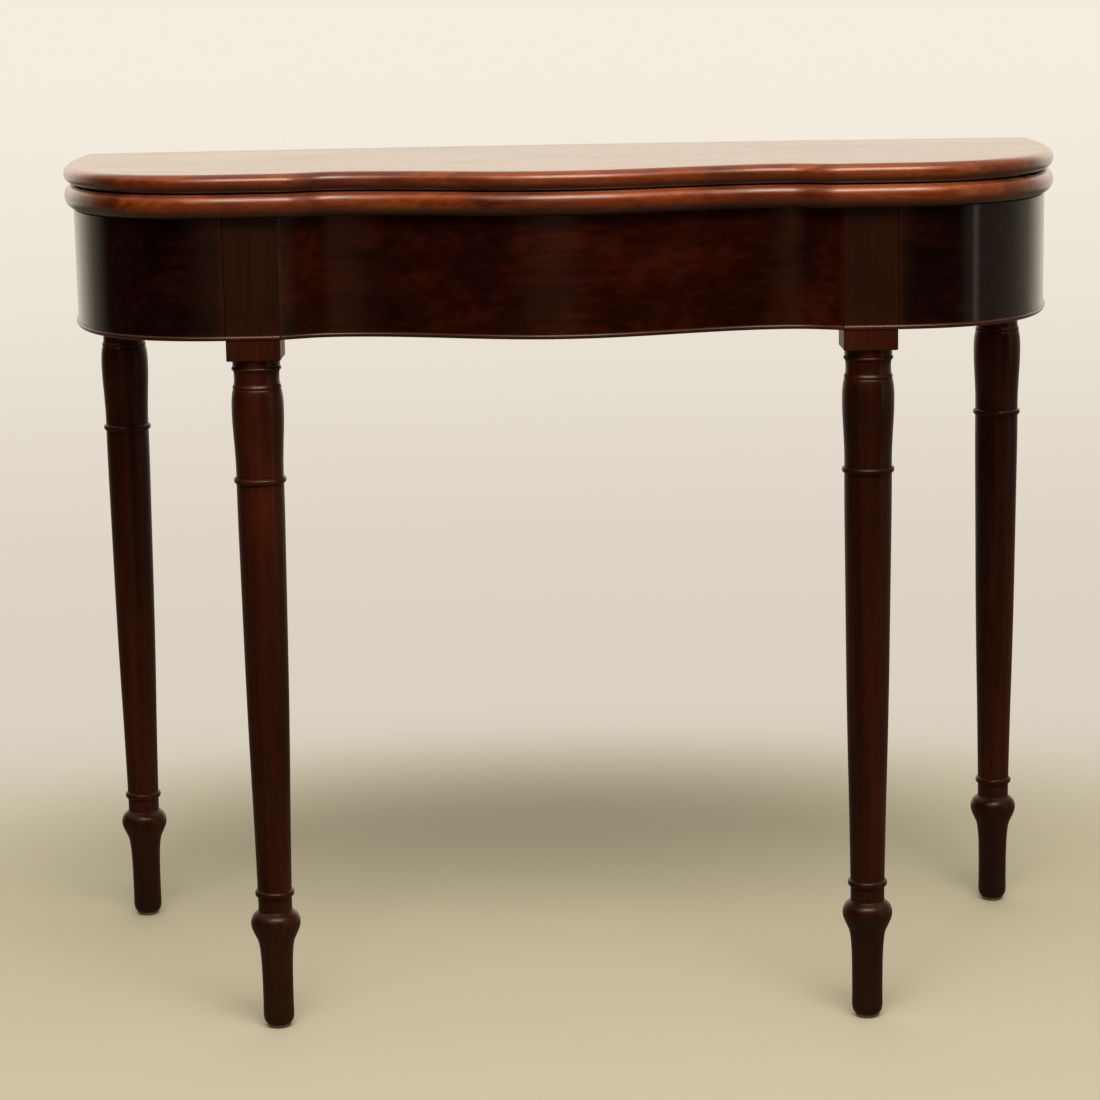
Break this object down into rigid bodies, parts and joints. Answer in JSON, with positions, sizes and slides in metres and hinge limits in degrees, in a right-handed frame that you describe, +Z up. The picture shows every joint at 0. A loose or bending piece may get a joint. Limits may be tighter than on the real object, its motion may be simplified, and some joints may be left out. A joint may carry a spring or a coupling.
{
  "type": "fold over card table",
  "caption": "Card table with a folding serpentine top on brass hinges, a veneered apron, turned tapering legs and rear legs that swing out to carry the open leaf",
  "frame": {"origin": "centre of the table's footprint, on the floor", "axes": "+X to the right seen from the front, +Y towards the back where the leaf folds over, +Z up"},
  "size_m": [0.914, 0.44, 0.7525],
  "materials": {
    "mahogany": "gloss, French polished",
    "inner_wood": "bare planed wood",
    "brass": "aged, satin",
    "iron": "dull wrought iron",
    "steel": "worn nickel"
  },
  "bodies": {
    "table_frame": {"lower_leaf": "mahogany", "front_rail": "mahogany", "left_end_rail": "mahogany", "right_end_rail": "mahogany", "front_bead": "mahogany", "left_stile_bead": "mahogany", "right_stile_bead": "mahogany", "left_end_bead": "mahogany", "right_end_bead": "mahogany", "left_front_leg": "mahogany", "right_front_leg": "mahogany", "left_front_glide": "steel", "right_front_glide": "steel", "inner_back_rail": "inner_wood", "medial_brace": "inner_wood", "knuckle_rail": "inner_wood", "left_knuckle_pin": "iron", "right_knuckle_pin": "iron", "left_front_block": "inner_wood", "right_front_block": "inner_wood", "left_end_block": "inner_wood", "right_end_block": "inner_wood", "left_corner_block": "inner_wood", "right_corner_block": "inner_wood", "left_front_screw": "steel", "right_front_screw": "steel", "left_end_screw": "steel", "right_end_screw": "steel", "left_lower_hinge_plate": "brass", "right_lower_hinge_plate": "brass", "left_lower_hinge_pin": "brass", "right_lower_hinge_pin": "brass", "left_lower_hinge_screw_1": "brass", "left_lower_hinge_screw_2": "brass", "right_lower_hinge_screw_1": "brass", "right_lower_hinge_screw_2": "brass"},
    "hinge_links": {"left_hinge_link": "brass", "right_hinge_link": "brass"},
    "folding_leaf": {"upper_leaf": "mahogany", "left_upper_hinge_plate": "brass", "right_upper_hinge_plate": "brass", "left_upper_hinge_pin": "brass", "right_upper_hinge_pin": "brass", "left_upper_hinge_screw_1": "brass", "left_upper_hinge_screw_2": "brass", "right_upper_hinge_screw_1": "brass", "right_upper_hinge_screw_2": "brass"},
    "left_fly_leg": {"left_fly_rail": "inner_wood", "left_rear_leg": "mahogany", "left_rear_glide": "steel"},
    "right_fly_leg": {"right_fly_rail": "inner_wood", "right_rear_leg": "mahogany", "right_rear_glide": "steel"}
  },
  "joints": [
    {"name": "hinge_link_turn", "type": "hinge", "parent": "table_frame", "child": "hinge_links", "pos_m": [0, 0.2163, 0.73], "axis": [-1, 0, 0], "range_deg": [0, 90]},
    {"name": "leaf_fold", "type": "hinge", "parent": "hinge_links", "child": "folding_leaf", "pos_m": [0, 0.2163, 0.738], "axis": [-1, 0, 0], "range_deg": [0, 90]},
    {"name": "left_fly_leg_swing", "type": "hinge", "parent": "table_frame", "child": "left_fly_leg", "pos_m": [-0.12, 0.177, 0.623], "axis": [0, 0, -1], "range_deg": [0, 90]},
    {"name": "right_fly_leg_swing", "type": "hinge", "parent": "table_frame", "child": "right_fly_leg", "pos_m": [0.12, 0.177, 0.623], "axis": [0, 0, 1], "range_deg": [0, 90]}
  ],
  "couplings": [
    {"joint": "hinge_link_turn", "follows": "leaf_fold", "ratio": 1}
  ]
}
